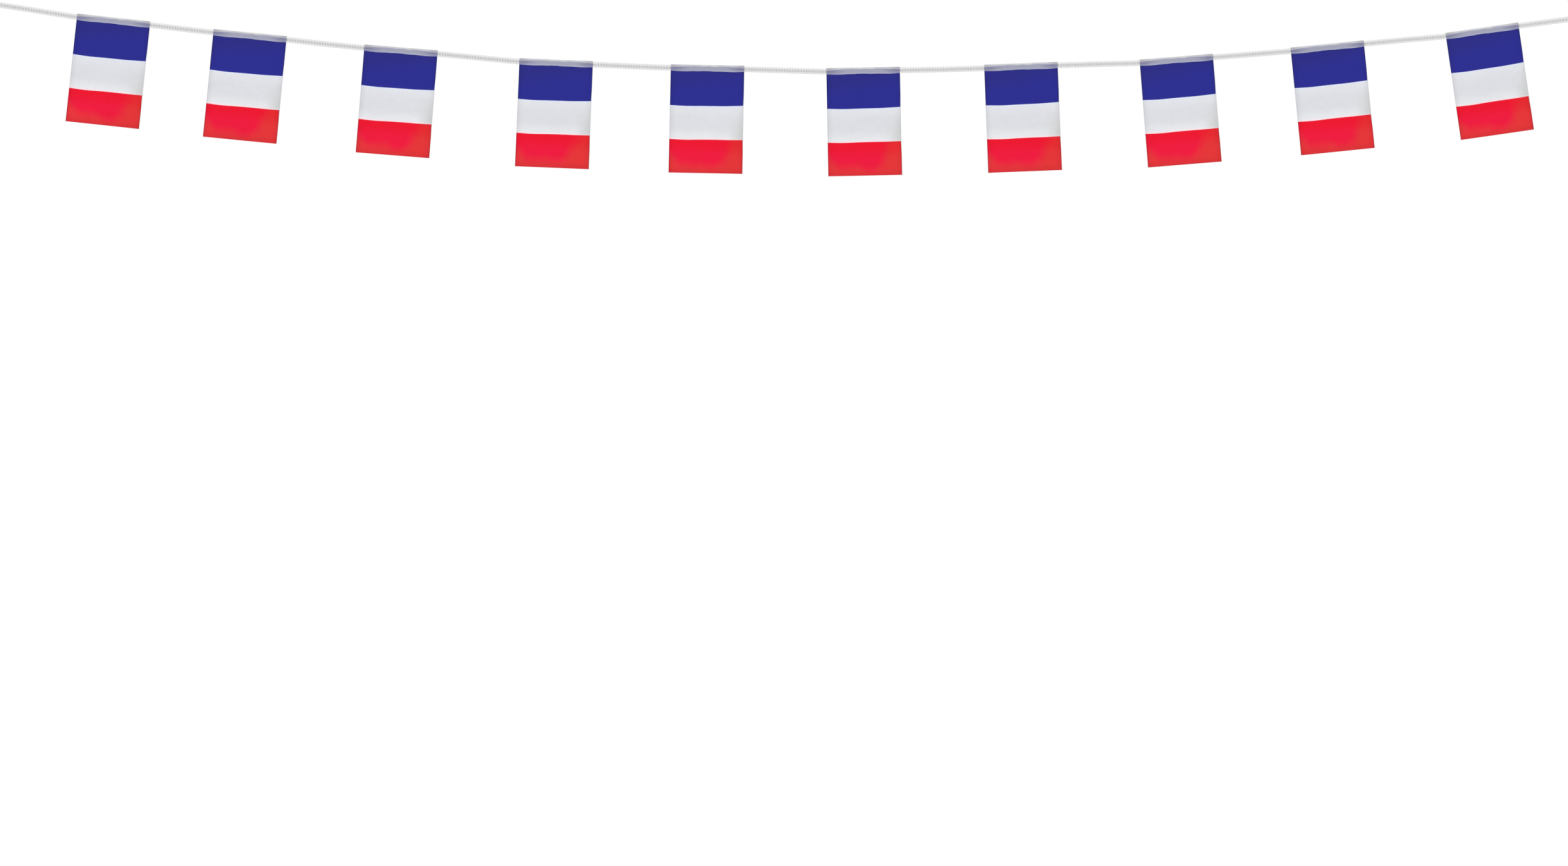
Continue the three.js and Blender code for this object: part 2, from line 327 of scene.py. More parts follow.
class Shader:
    """A material whose nodes are made and joined in the order that they are used."""

    def __init__(self, name, **finish):
        self.material = bpy.data.materials.new(name)
        self.material.use_nodes = True
        self.tree = self.material.node_tree
        self.surface = self.tree.nodes["Principled BSDF"]
        for socket, value in finish.items():
            self.surface.inputs[socket.replace("_", " ")].default_value = value

    def node(self, kind, inputs, **settings):
        made = self.tree.nodes.new("ShaderNode" + kind)
        for name, value in settings.items():
            setattr(made, name, value)
        for socket, value in inputs.items():
            self.put(value, made.inputs[socket])
        return made

    def put(self, value, socket):
        if isinstance(value, bpy.types.NodeSocket):
            self.tree.links.new(value, socket)
        else:
            socket.default_value = value

    def math(self, operation, *values):
        return self.node("Math", dict(enumerate(values)), operation=operation).outputs[0]

    def plus(self, start, *terms):
        """start plus the terms, each of them a value and its weight."""
        for value, weight in terms:
            start = self.math("MULTIPLY_ADD", value, weight, start)
        return start

    def distance(self, value, point):
        return self.math("ABSOLUTE", self.math("SUBTRACT", value, point))

    def attribute(self, name):
        """The three values of a vector attribute, or the value of a plain one as the last."""
        found = self.node("Attribute", {}, attribute_name=name)
        parts = self.node("SeparateXYZ", {0: found.outputs["Vector"]})
        return (*parts.outputs, found.outputs["Fac"])

    def vector(self, x, y, z):
        return self.node("CombineXYZ", {0: x, 1: y, 2: z}).outputs[0]

    def step(self, value, low, high, first=0.0, last=1.0):
        """A smooth step of value from low to high."""
        inputs = {"Value": value, "From Min": low, "From Max": high, "To Min": first, "To Max": last}
        return self.node("MapRange", inputs, interpolation_type="SMOOTHSTEP").outputs[0]

    def mix(self, share, first, second):
        """A colour between two others."""
        return self.node("Mix", {0: share, 6: first, 7: second}, data_type="RGBA").outputs[2]

    def blend(self, share, first, second):
        """A number between two others."""
        return self.node("Mix", {0: share, 2: first, 3: second}, data_type="FLOAT").outputs[0]

    def scaled(self, tint, brightness):
        """A colour with all its parts multiplied by a brightness near 1."""
        parts = tint[:3] if isinstance(tint, tuple) else tint
        return self.node("VectorMath", {0: parts, "Scale": brightness}, operation="SCALE").outputs[0]

    def noise(self, vector, scale, detail=2.0):
        """Noise from -0.5 to 0.5, half of it below 0. scale counts its forms in one unit of the vector."""
        inputs = {"Vector": vector, "Scale": scale, "Detail": detail}
        return self.math("SUBTRACT", self.node("TexNoise", inputs).outputs["Fac"], 0.5)

    def wave(self, value, pitch):
        """A sine wave of that pitch, from -1 to 1."""
        return self.math("SINE", self.math("MULTIPLY", value, 2 * math.pi / pitch))

    def finish(self, tint, height, relief, roughness):
        """Joins the colour, a height from about -1 to 1 with its relief in millimetres, and the roughness."""
        bump = self.node("Bump", {"Height": height, "Distance": relief * MM, "Strength": 1.0})
        self.put(tint, self.surface.inputs["Base Color"])
        self.put(roughness, self.surface.inputs["Roughness"])
        self.put(bump.outputs[0], self.surface.inputs["Normal"])
        return self.material


# Tones of the cloth
BLUE_UPPER = colour(43, 44, 131)
BLUE_LOWER = colour(42, 44, 142)
WHITE_UPPER = colour(222, 224, 229)
WHITE_MIDDLE = colour(218, 219, 224)
WHITE_LOWER = colour(228, 229, 233)
# painted shade at the white band's lower right
WHITE_RIGHT_SHADED = colour(209, 211, 211)
WHITE_BY_BLUE = colour(223, 229, 244)
PINK_BY_RED = colour(245, 226, 231)
# painted shade on the pink at the lower right
PINK_RIGHT_SHADED = colour(224, 214, 217)
RED_UPPER = colour(234, 18, 46)
RED_MIDDLE = colour(235, 22, 60)
RED_FOOT = colour(227, 51, 57)
RED_RIGHT = colour(226, 38, 45)
RED_RIGHT_FOOT = colour(225, 51, 54)
UNPRINTED = colour(226, 227, 232)
# the flap's grey top is partly painted shade on the fold over the tape, deeper at its far ends
FLAP_TOP = colour(199, 200, 205)
FLAP_TOP_ENDS = colour(176, 176, 182)
# painted highlight on the small fold at the top of the hem
FLAP_PUCKER_HIGHLIGHT = colour(236, 235, 226)
# painted shade in the small crease on the fold
FLAP_CREASE_SHADE = colour(150, 148, 138)
FLAP_LILAC = colour(161, 162, 181)
FLAP_LILAC_ENDS = colour(129, 129, 160)
FLAP_LOWER = colour(167, 169, 189)
FLAP_LOWER_ENDS = colour(140, 140, 166)
FLAP_HALO = colour(172, 177, 212)

# Where those tones change, in millimetres. Each row says where a change begins and where it is complete. The
# rows of four add the shares or brightnesses at these two places, which are otherwise 0 and 1.
# On the flap, by the distance from the middle of the flag:
TO_FLAP_ENDS = (33, 72)
TO_FAR_FLAP_ENDS = (48, 72)
# by the distance from the flap's cut edge:
TO_FLAP_LOWER = (3.2, 2.0)
TO_FLAP_HALO = (1.0, 0.3)
# and by the distances past the print's top, past the pucker's foot, from the crease and along the cloth:
TO_LILAC = (-1.0, 0.8)
TO_PUCKER_HIGHLIGHT = (0.4, -0.4, 0.0, 0.3)
TO_CREASE = (8.0, 2.0, 0.0, 0.75)
TO_CREASE_TOP = (-1.5, -0.3)
# On the printed face, by the depth below the top:
TO_BLUE_LOWER = (30, 65)
TO_WHITE_MIDDLE = (88, 112)
TO_WHITE_LOWER = (126, 150)
TO_WHITE_RIGHT_DOWN = (86, 145)
TO_RED_MIDDLE = (160, 185)
TO_RED_FOOT = (189, 217)
TO_RED_RIGHT_FOOT = (160, 190)
SLIVER_WIDENS = (48, 84)
SLIVER_NARROWS = (188, 154)
# by the distance from the left side:
TO_WHITE_RIGHT = (114, 144)
TO_RED_RIGHT = (174, 202)  # plus a share of the depth
FOOT_TONE_LEFT = (26, 0)
# by the distance from the deepest point of the red foot's border:
FOOT_TONE_DIP = (22, 6)
# by the distance past a border of the print, or past the sliver's inner side:
TO_WHITE_BY_BLUE = (4.5, 0.5)
TO_PINK_BY_RED = (-4.0, -1.5)
ACROSS_BORDER = (-0.35, 0.35)
ACROSS_PRINT_TOP = (-0.4, 0.4)
ACROSS_SLIVER = (0.05, 0.35, 0.0, 0.8)
# and by the distance from the sides and from the foot, for the darker inks and the painted shade there:
SIDE_INK = (0.3, 3.2, 0.7, 1.0)
RIM_SHADE = (0.8, 3.0, 0.89, 1.0)
SIDE_SHADE = (1.0, 14.0, 0.92, 1.0)
FOOT_SHADE = (1.0, 16.0, 0.9, 1.0)

BLUE_SLANT = 0.15  # of the border between the two blues, in depth for each step to the left
RED_RIGHT_SLANT = 0.4  # of the border to the right end's red, to the left for each step down
FOOT_TONE_RISE = 19  # the red foot's border is this much higher at the left side
FOOT_TONE_MIDDLE = 83  # and lowest here
FOOT_TONE_DROP = 6
BORDER_ROUGHNESS = 0.9
LILAC_ROUGHNESS = 1.2
FOOT_TONE_ROUGHNESS = 16
RED_RIGHT_ROUGHNESS = 30
REVERSE_PALER = 0.08
FLAG_SHIFT = 97  # between the places that two flags take in the noise
STREAK_SQUEEZE = 0.15  # of the flap's upright streaks, which makes them long
LEVEL_STREAK_SQUEEZE = 0.08
CLOTH_RELIEF = 0.035


def distance_from_side(shader, x):
    return shader.math("MINIMUM", x, shader.math("SUBTRACT", FLAG_WIDTH, x))


def flap_colour(shader, x, along, past_print, from_edge, past_pucker, fine, yarns):
    """The unprinted hem: grey-white on top, then lilac where the print beneath shows through it."""
    from_middle = shader.distance(x, FLAG_MIDDLE)
    at_ends = shader.step(from_middle, *TO_FLAP_ENDS)
    at_far_ends = shader.step(from_middle, *TO_FAR_FLAP_ENDS)
    # grey top, partly painted shade on the fold over the tape
    top = shader.mix(at_far_ends, FLAP_TOP, FLAP_TOP_ENDS)
    lilac = shader.mix(at_ends, FLAP_LILAC, FLAP_LILAC_ENDS)
    lower = shader.mix(at_far_ends, FLAP_LOWER, FLAP_LOWER_ENDS)
    lilac = shader.mix(shader.step(from_edge, *TO_FLAP_LOWER), lilac, lower)
    ragged_print = shader.plus(past_print, (fine, LILAC_ROUGHNESS))
    tint = shader.mix(shader.step(ragged_print, *TO_LILAC), top, lilac)
    # painted highlight on the small fold at the top of the hem
    tint = shader.mix(shader.step(past_pucker, *TO_PUCKER_HIGHLIGHT), tint, FLAP_PUCKER_HIGHLIGHT)
    # painted shade in a small crease on the fold
    near_crease = shader.step(shader.distance(x, CREASE_MIDDLE), *TO_CREASE)
    crease_shade = shader.math("MULTIPLY", near_crease, shader.step(along, *TO_CREASE_TOP))
    tint = shader.mix(crease_shade, tint, FLAP_CREASE_SHADE)
    tint = shader.mix(shader.step(from_edge, *TO_FLAP_HALO), tint, FLAP_HALO)
    squeezed_along = shader.math("MULTIPLY", along, STREAK_SQUEEZE)
    squeezed_x = shader.math("MULTIPLY", x, LEVEL_STREAK_SQUEEZE)
    upright = shader.noise(shader.vector(x, squeezed_along, 0.0), 1.7)
    level = shader.noise(shader.vector(squeezed_x, along, 7.0), 1.9)
    streaks = shader.blend(at_ends, upright, level)
    return shader.scaled(tint, shader.plus(1.0, (streaks, 0.3), (yarns, 0.02)))


def red_colour(shader, x, below, broad):
    """The red band: cooler in its middle, and duller towards the foot and the right end."""
    red = shader.mix(shader.step(below, *TO_RED_MIDDLE), RED_UPPER, RED_MIDDLE)
    at_left = shader.step(x, *FOOT_TONE_LEFT)
    in_dip = shader.step(shader.distance(x, FOOT_TONE_MIDDLE), *FOOT_TONE_DIP)
    near_foot = shader.plus(below, (at_left, FOOT_TONE_RISE), (in_dip, -FOOT_TONE_DROP))
    near_foot = shader.plus(near_foot, (broad, FOOT_TONE_ROUGHNESS))
    red = shader.mix(shader.step(near_foot, *TO_RED_FOOT), red, RED_FOOT)
    right = shader.mix(shader.step(below, *TO_RED_RIGHT_FOOT), RED_RIGHT, RED_RIGHT_FOOT)
    near_right = shader.plus(x, (below, RED_RIGHT_SLANT), (broad, RED_RIGHT_ROUGHNESS))
    return shader.mix(shader.step(near_right, *TO_RED_RIGHT), red, right)


def white_colour(shader, x, below, past_blue, past_white):
    """The white band: greyer with painted shade at its lower right, bluish under the blue and pink above the
    red.
    """
    white = shader.mix(shader.step(below, *TO_WHITE_MIDDLE), WHITE_UPPER, WHITE_MIDDLE)
    white = shader.mix(shader.step(below, *TO_WHITE_LOWER), white, WHITE_LOWER)
    at_right = shader.step(x, *TO_WHITE_RIGHT)
    # painted shade at the lower right
    shaded_lower_right = shader.math("MULTIPLY", at_right, shader.step(below, *TO_WHITE_RIGHT_DOWN))
    white = shader.mix(shaded_lower_right, white, WHITE_RIGHT_SHADED)
    white = shader.mix(shader.step(past_blue, *TO_WHITE_BY_BLUE), white, WHITE_BY_BLUE)
    pink = shader.mix(shaded_lower_right, PINK_BY_RED, PINK_RIGHT_SHADED)
    return shader.mix(shader.step(past_white, *TO_PINK_BY_RED), white, pink)


def band_colour(shader, x, below, past_blue, past_white, fine, broad):
    """The printed face: blue, white and red, the inks a little darker by the flag's sides."""
    near_lower = shader.plus(below, (x, BLUE_SLANT))
    blue = shader.mix(shader.step(near_lower, *TO_BLUE_LOWER), BLUE_UPPER, BLUE_LOWER)
    white = white_colour(shader, x, below, past_blue, past_white)
    red = red_colour(shader, x, below, broad)
    ink = shader.step(distance_from_side(shader, x), *SIDE_INK)
    tint = shader.scaled(blue, ink)
    for past_border, following in ((past_blue, white), (past_white, shader.scaled(red, ink))):
        ragged = shader.plus(past_border, (fine, BORDER_ROUGHNESS))
        tint = shader.mix(shader.step(ragged, *ACROSS_BORDER), tint, following)
    return tint


def unprinted_sliver(shader, x, below):
    """How much shows of the thin unprinted line down the middle part of the flag's right side."""
    width = shader.math("MULTIPLY", shader.step(below, *SLIVER_WIDENS), shader.step(below, *SLIVER_NARROWS))
    past_inner_side = shader.math("SUBTRACT", shader.math("ADD", x, width), FLAG_WIDTH)
    return shader.step(past_inner_side, *ACROSS_SLIVER)


def painted_shade_and_cut_rim(shader, x, below):
    """Painted shade towards the cloth's sides and foot, and a darker rim: partly the hot cut, partly painted
    shade.
    """
    from_side = distance_from_side(shader, x)
    from_foot = shader.math("SUBTRACT", FLAG_HEIGHT, below)
    rim = shader.step(shader.math("MINIMUM", from_side, from_foot), *RIM_SHADE)
    by_side = shader.step(from_side, *SIDE_SHADE)
    by_foot = shader.step(from_foot, *FOOT_SHADE)
    return shader.math("MULTIPLY", rim, shader.math("MULTIPLY", by_side, by_foot))


def make_cloth_material():
    shader = Shader("printed bunting cloth", Specular_IOR_Level=0.1, Sheen_Weight=0.04, Sheen_Roughness=0.5)
    x, along, number, _ = shader.attribute("cloth")
    past_print, past_blue, past_white, _ = shader.attribute("bands")
    reverse = shader.attribute("reverse")[-1]
    from_edge = shader.attribute("from_cut_edge")[-1]
    past_pucker = shader.attribute("past_pucker")[-1]
    below = shader.math("SUBTRACT", along, FOLD_ALLOWANCE)
    place = shader.vector(x, along, shader.math("MULTIPLY", number, FLAG_SHIFT))
    fine = shader.noise(place, 1.1, 3.0)
    broad = shader.noise(place, 0.022)
    mottle = shader.noise(place, 0.09, 3.0)
    grain = shader.noise(place, 2.6)
    lint = shader.step(shader.noise(place, 0.35, 4.0), 0.20, 0.26)
    warp = shader.wave(x, YARN_PITCH)
    weft = shader.wave(along, YARN_PITCH)
    yarns = shader.math("ADD", warp, weft)
    weave = shader.math("MULTIPLY", warp, weft)

    face = band_colour(shader, x, below, past_blue, past_white, fine, broad)
    face = shader.mix(shader.step(past_print, *ACROSS_PRINT_TOP), UNPRINTED, face)
    face = shader.mix(unprinted_sliver(shader, x, below), face, UNPRINTED)
    # painted shade by the sides and foot, and the darker rim of the hot cut
    face = shader.scaled(face, painted_shade_and_cut_rim(shader, x, below))
    tint = shader.mix(shader.math("MULTIPLY", reverse, REVERSE_PALER), face, UNPRINTED)
    on_flap = shader.math("MULTIPLY", reverse, shader.math("LESS_THAN", along, 0.0))
    flap = flap_colour(shader, x, along, past_print, from_edge, past_pucker, fine, yarns)
    tint = shader.mix(on_flap, tint, flap)

    light = shader.plus(1.0, (broad, 0.05), (mottle, 0.07), (grain, 0.1), (weave, 0.025), (lint, -0.03))
    roughness = shader.plus(0.86, (grain, 0.15))
    height = shader.plus(weave, (grain, 1.6))
    return shader.finish(shader.scaled(tint, light), height, CLOTH_RELIEF, roughness)


# painted light: the upper edge a little lighter than the lower, as if lit from above
TAPE_UPPER_LIT = colour(231, 231, 231)
TAPE_LOWER_SHADED = colour(226, 226, 226)
TAPE_BAR = colour(229, 229, 229)
# painted shade in the sunk gaps between the bars
TAPE_GAP_SHADE = colour(203, 203, 204)
ACROSS_TAPE_MIDDLE = (-1.0, 1.0)  # heights between which the lower edge's painted shade turns into the upper edge's painted light
INTO_TAPE_MIDDLE = (3.2, 1.9)  # distances from the gaps' middles between which a raised edge ends
INTO_GAP = (0.1, 0.55)  # in a cosine that is 1 in the middle of a gap and -1 in the middle of a bar
GAP_DROP = 0.4  # the painted shade in the gaps lies this far below the middle of the tape
LOOP_STITCH_PITCH = 1.4
LOOP_STITCH_SLANT = 0.7
FIBRE_PITCH = 0.5
TAPE_RELIEF = 0.09


def make_tape_material():
    shader = Shader("knitted tape", Specular_IOR_Level=0.12, Sheen_Weight=0.05, Sheen_Roughness=0.5)
    along, height, _, _ = shader.attribute("tape")
    place = shader.vector(along, height, 0.0)
    grain = shader.noise(place, 2.2, 3.0)
    cloud = shader.noise(place, 0.06)

    near_gap = shader.math("COSINE", shader.math("MULTIPLY", along, 2 * math.pi / BAR_PITCH))
    in_middle = shader.step(shader.distance(height, -GAP_DROP), *INTO_TAPE_MIDDLE)
    # the upper raised edge painted a little lighter than the lower, as if lit from above
    edge = shader.mix(shader.step(height, *ACROSS_TAPE_MIDDLE), TAPE_LOWER_SHADED, TAPE_UPPER_LIT)
    # painted shade in the sunk gaps between the bars
    middle = shader.mix(shader.step(near_gap, *INTO_GAP), TAPE_BAR, TAPE_GAP_SHADE)
    tint = shader.mix(in_middle, edge, middle)

    from_crest = shader.distance(shader.math("ABSOLUTE", height), EDGE_CREST)
    chain = shader.wave(shader.plus(along, (from_crest, LOOP_STITCH_SLANT)), LOOP_STITCH_PITCH)
    ribs = shader.blend(in_middle, chain, shader.wave(along, FIBRE_PITCH))
    light = shader.plus(1.0, (grain, 0.1), (cloud, 0.04), (ribs, 0.025))
    return shader.finish(shader.scaled(tint, light), shader.math("ADD", ribs, grain), TAPE_RELIEF, 0.88)


def make_thread_material(name, tint):
    shader = Shader(name, Specular_IOR_Level=0.25, Sheen_Weight=0.1, Sheen_Roughness=0.4)
    place = shader.node("TexCoord", {}).outputs["Object"]
    fibre = shader.noise(place, 4000.0)
    light = shader.plus(1.0, (fibre, 0.12))
    return shader.finish(shader.scaled(tint, light), fibre, 0.05, 0.7)


def make_floor_material():
    """Pale in the middle, and as white as the backdrop by its rim."""
    shader = Shader("pale studio floor", Specular_IOR_Level=0.2)
    place = shader.node("TexCoord", {}).outputs["Object"]
    speckle = shader.noise(place, 3.0, 3.0)
    light = shader.plus(1.0, (speckle, 0.02))
    from_middle = shader.node("VectorMath", {0: place}, operation="LENGTH").outputs["Value"]
    to_rim = shader.step(from_middle, FLOOR_PALE_TO * MM, FLOOR_RADIUS * MM)
    tint = shader.mix(to_rim, colour(240, 240, 240), colour(253, 253, 253))
    return shader.finish(shader.scaled(tint, light), speckle, 0.5, 0.9)


# Camera and studio


def make_camera():
    data = bpy.data.cameras.new("camera")
    data.sensor_width = SENSOR_WIDTH
    data.lens = SENSOR_WIDTH * CAMERA_DISTANCE / (PHOTO_WIDTH_PX * MM_PER_PX)
    data.clip_end = CAMERA_SEES_TO
    camera = bpy.data.objects.new("camera", data)
    middle_x = PHOTO_LEFT + PHOTO_WIDTH_PX / 2 * MM_PER_PX
    middle_z = PHOTO_TOP - PHOTO_HEIGHT_PX / 2 * MM_PER_PX
    camera.location = (middle_x * MM, -CAMERA_DISTANCE * MM, middle_z * MM)
    camera.rotation_euler = (math.radians(90), 0, 0)
    bpy.context.collection.objects.link(camera)
    bpy.context.scene.camera = camera


def make_world():
    """A white backdrop that is a little dimmer as a light than it looks."""
    world = bpy.data.worlds.new("white studio")
    world.use_nodes = True
    tree = world.node_tree
    seen = tree.nodes.new("ShaderNodeLightPath").outputs["Is Camera Ray"]
    strength = tree.nodes.new("ShaderNodeMapRange")
    strength.inputs["To Min"].default_value = SKY_LIGHT
    tree.links.new(seen, strength.inputs["Value"])
    background = tree.nodes["Background"]
    background.inputs["Color"].default_value = (1, 1, 1, 1)
    tree.links.new(strength.outputs[0], background.inputs["Strength"])
    bpy.context.scene.world = world


def make_sun(name, share, toward):
    """A soft sun that adds that share to the light on a surface that faces the camera or its opposite."""
    towards = unit(np.array(toward))
    data = bpy.data.lights.new(name, "SUN")
    data.angle = SUN_ANGLE
    data.energy = share * math.pi / abs(towards[1])
    sun = bpy.data.objects.new(name, data)
    tilt = math.acos(towards[2])
    sun.rotation_euler = (tilt, 0, math.atan2(towards[0], -towards[1]))
    bpy.context.collection.objects.link(sun)


def make_floor():
    bpy.ops.mesh.primitive_circle_add(vertices=FLOOR_SIDES, radius=FLOOR_RADIUS * MM, fill_type="NGON")
    floor = bpy.context.object
    floor.name = "studio_floor"
    floor.location = (PHOTO_WIDTH_PX / 2 * MM_PER_PX * MM, 0, FLOOR_HEIGHT * MM)
    floor.data.materials.append(make_floor_material())


# Tape


def loop_points(neck, following):
    """The folded-back end of the tape, from its cut end out round the loop and back towards the neck."""
    outward = unit(neck - following)
    angles = LOOP_HALF_TURN * np.linspace(1, -1, LOOP_STEPS + 1)
    out = np.concatenate([[-LAP, 0], LOOP_REACH + LOOP_RADIUS * np.cos(angles)])
    bend_depth = STRAND_SPACING / 2 + LOOP_RADIUS * np.sin(angles)
    depth = np.concatenate([[STRAND_SPACING, STRAND_SPACING], bend_depth])
    return neck + out[:, None] * outward + depth[:, None] * AWAY


def smoothed(points):
    """Each point moved to the mean of those within the smoothing reach, with straight runs past the ends."""
    reach = round(SMOOTH_REACH / PATH_STEP)
    before = points[0] + (points[0] - points[1]) * np.arange(reach, 0, -1)[:, None]
    after = points[-1] + (points[-1] - points[-2]) * np.arange(1, reach + 1)[:, None]
    total = np.cumsum(np.concatenate([[np.zeros(3)], before, points, after]), axis=0)
    return (total[2 * reach + 1 :] - total[: -2 * reach - 1]) / (2 * reach + 1)


class TapePath:
    """The line of the tape's middle, by distance along it, and the directions along, up and to the front."""

    def __init__(self, route):
        ends = [loop_points(route[0], route[1]), loop_points(route[-1], route[-2])[::-1]]
        corners = np.concatenate([ends[0], route, ends[1]])
        steps = np.linalg.norm(np.diff(corners, axis=0), axis=1)
        corner_at = np.concatenate([[0], np.cumsum(steps)])
        self.route_at = corner_at[len(ends[0]) : len(ends[0]) + len(route)]
        self.length = corner_at[-1]
        self.at = np.linspace(0, self.length, round(self.length / PATH_STEP) + 1)
        line = np.stack([np.interp(self.at, corner_at, corners[:, k]) for k in range(3)], axis=1)
        self.middle = smoothed(smoothed(line))
        self.along = unit(np.gradient(self.middle, axis=0))
        between_necks = np.clip(self.at, self.route_at[0] + SMOOTH_REACH, self.route_at[-1] - SMOOTH_REACH)
        level = self.sample(self.along, between_necks)
        self.up = unit(np.stack([-level[:, 2], 0 * level[:, 0], level[:, 0]], axis=1))
        self.front = unit(np.cross(self.along, self.up))

    def sample(self, values, at):
        return np.stack([np.interp(at, self.at, values[:, k]) for k in range(3)], axis=-1)


def depth_in_hem(path, at):
    """How far inside a hem each of these distances along the tape lies, below 0 outside them all."""
    starts = path.route_at[1::POINTS_PER_FLAG]
    ends = path.route_at[2::POINTS_PER_FLAG]
    return np.minimum(at[:, None] - starts, ends - at[:, None]).max(axis=1)


def ring_places(path):
    """Distances of the tape's rings, and which of them lie in a gap between two bars."""
    gaps = np.arange(FIRST_GAP, path.length - BAR_PITCH, BAR_PITCH)
    at = (gaps[:, None] + RING_OFFSETS).ravel()
    in_gap = np.tile(RING_IN_GAP, len(gaps))
    at_bar = np.tile(np.arange(len(RING_OFFSETS)) == len(RING_OFFSETS) - 1, len(gaps))
    kept = (at_bar | (depth_in_hem(path, at) < HIDDEN_FROM)) & (at > 0)
    at = np.concatenate([[0], at[kept], [path.length]])
    in_gap = np.concatenate([[0], in_gap[kept], [0]])
    return at, in_gap.astype(float)


def tape_ring():
    """The points round the tape: their heights from its middle, and 1 on its front or -1 on its back."""
    front = np.concatenate([SECTION_HEIGHTS, np.negative(SECTION_HEIGHTS[-2::-1])])
    return np.concatenate([front, front[::-1]]), np.repeat([1.0, -1.0], len(front))


def tape_thickness(from_middle, in_gap):
    """Half the tape's thickness at those distances from its middle, for each ring."""
    at_bar, at_gap = [
        np.interp(from_middle, SECTION_HEIGHTS[::-1], thickness[::-1])
        for thickness in (BAR_THICKNESS, GAP_THICKNESS)
    ]
    return at_bar + in_gap[:, None] * (at_gap - at_bar)


def make_tape(path, material):
    at, in_gap = ring_places(path)
    height, side = tape_ring()
    from_middle = np.abs(height)
    thick = tape_thickness(from_middle, in_gap)
    on_bar = rise(-from_middle, -EDGE_CREST, -BAR_HALF_HEIGHT)
    slanted = np.clip(height, -BAR_HALF_HEIGHT, BAR_HALF_HEIGHT) * on_bar
    away_from_ends = (at > BAR_PITCH) & (at < path.length - BAR_PITCH)
    shift = -BAR_SLANT * slanted * away_from_ends[:, None]
    from_gap = (at - FIRST_GAP)[:, None]
    bulge = -RIM_BULGE * np.cos(2 * math.pi * from_gap / BAR_PITCH) * (from_middle > RIM_FROM)
    squeeze = 1 - HEM_SQUEEZE * rise(depth_in_hem(path, at), -SQUEEZE_LEAD, 0)
    lifted = (height + np.sign(height) * bulge) * squeeze[:, None]

    middle = path.sample(path.middle, at)
    points = middle[:, None]
    for distance, direction in ((lifted, path.up), (side * thick, path.front), (shift, path.along)):
        points = points + distance[..., None] * path.sample(direction, at)[:, None]
    values = np.stack(np.broadcast_arrays(from_gap, height, side), axis=-1)
    faces = tube_faces(1, len(at), len(height))
    attributes = {"tape": values.reshape(-1, 3)}
    tape = make_piece("knitted_tape", points.reshape(-1, 3), faces, material, attributes)
    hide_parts("tape")
    return tape, middle


def make_loop_stitching(name, neck, following, material):
    """Two bars of zigzag stitches across the doubled tape by a loop's neck, on both of its faces."""
    inward = unit(following - neck)
    up = np.array([-inward[2], 0, inward[0]]) * np.sign(inward[0])
    crest = max(BAR_THICKNESS)
    paths = []
    outward = []
    share = np.linspace(-1, 1, BAR_TACK_POINTS)
    for distance in BAR_TACKS:
        for number in range(BAR_TACK_STITCHES):
            for face, depth in ((-1, -crest), (1, STRAND_SPACING + crest)):
                slant = face * (1 if number % 2 else -1)
                place = distance + (number - BAR_TACK_STITCHES / 2 + slant * share / 2) * BAR_TACK_STEP
                lift = face * (BAR_TACK_LIFT - BAR_TACK_DIP * share**8)
                path = neck + place[:, None] * inward + (BAR_TACK_HALF_HEIGHT * share)[:, None] * up
                paths.append(path + (depth + lift)[:, None] * AWAY)
                outward.append(np.tile(face * AWAY, (len(share), 1)))
    return make_threads(name, np.array(paths), np.array(outward), material)


# Flags


def hang_depth(hang, across, down):
    """The soft wave and curled corners of the hanging cloth. across and down run from 0 to 1."""
    wave = hang["swell"] * np.cos(2 * math.pi * (WAVES_ACROSS * across + hang["phase"]))
    corner = (2 * across - 1) ** 2
    return down**SWELL_POWER * wave - hang["curl"] * down**CURL_POWER * corner


def scattered_wrinkles(number):
    """Places, directions and sizes of the faint wrinkles of one flag."""
    chance = np.random.default_rng(number)
    return {name: chance.uniform(*ends, WRINKLES) for name, ends in WRINKLE_RANGES.items()}


def wrinkle_depth(wrinkles, x, below):
    total = 0
    for x_middle, middle, turn, reach, width, depth in zip(*wrinkles.values()):
        from_x = x - x_middle
        from_middle = below - middle
        length = (from_x * math.cos(turn) + from_middle * math.sin(turn)) / reach
        across = (from_middle * math.cos(turn) - from_x * math.sin(turn)) / width
        total += depth * np.exp(-((across + WRINKLE_BEND * length**2) ** 2) - length**4)
    return total


def ripples(waves, hang, x):
    """The sum of some waves across a flag, each turned by its own number of the flag's phase."""
    turn = 2 * math.pi * hang["phase"]
    return sum(height * np.sin(x / length + turns * turn) for height, length, turns in waves)


def stitch_pinch(x, below):
    """The pinch of a row of stitches: 1 in the middle of a stitch, less between two, and 0 further off."""
    at_stitch = 1 - PINCH_VARIES * (1 + np.cos(2 * math.pi * x / STITCH_PITCH))
    return at_stitch * np.exp(-(((below - depth_of(STITCH_LINE, x)) / PINCH_REACH) ** 2))


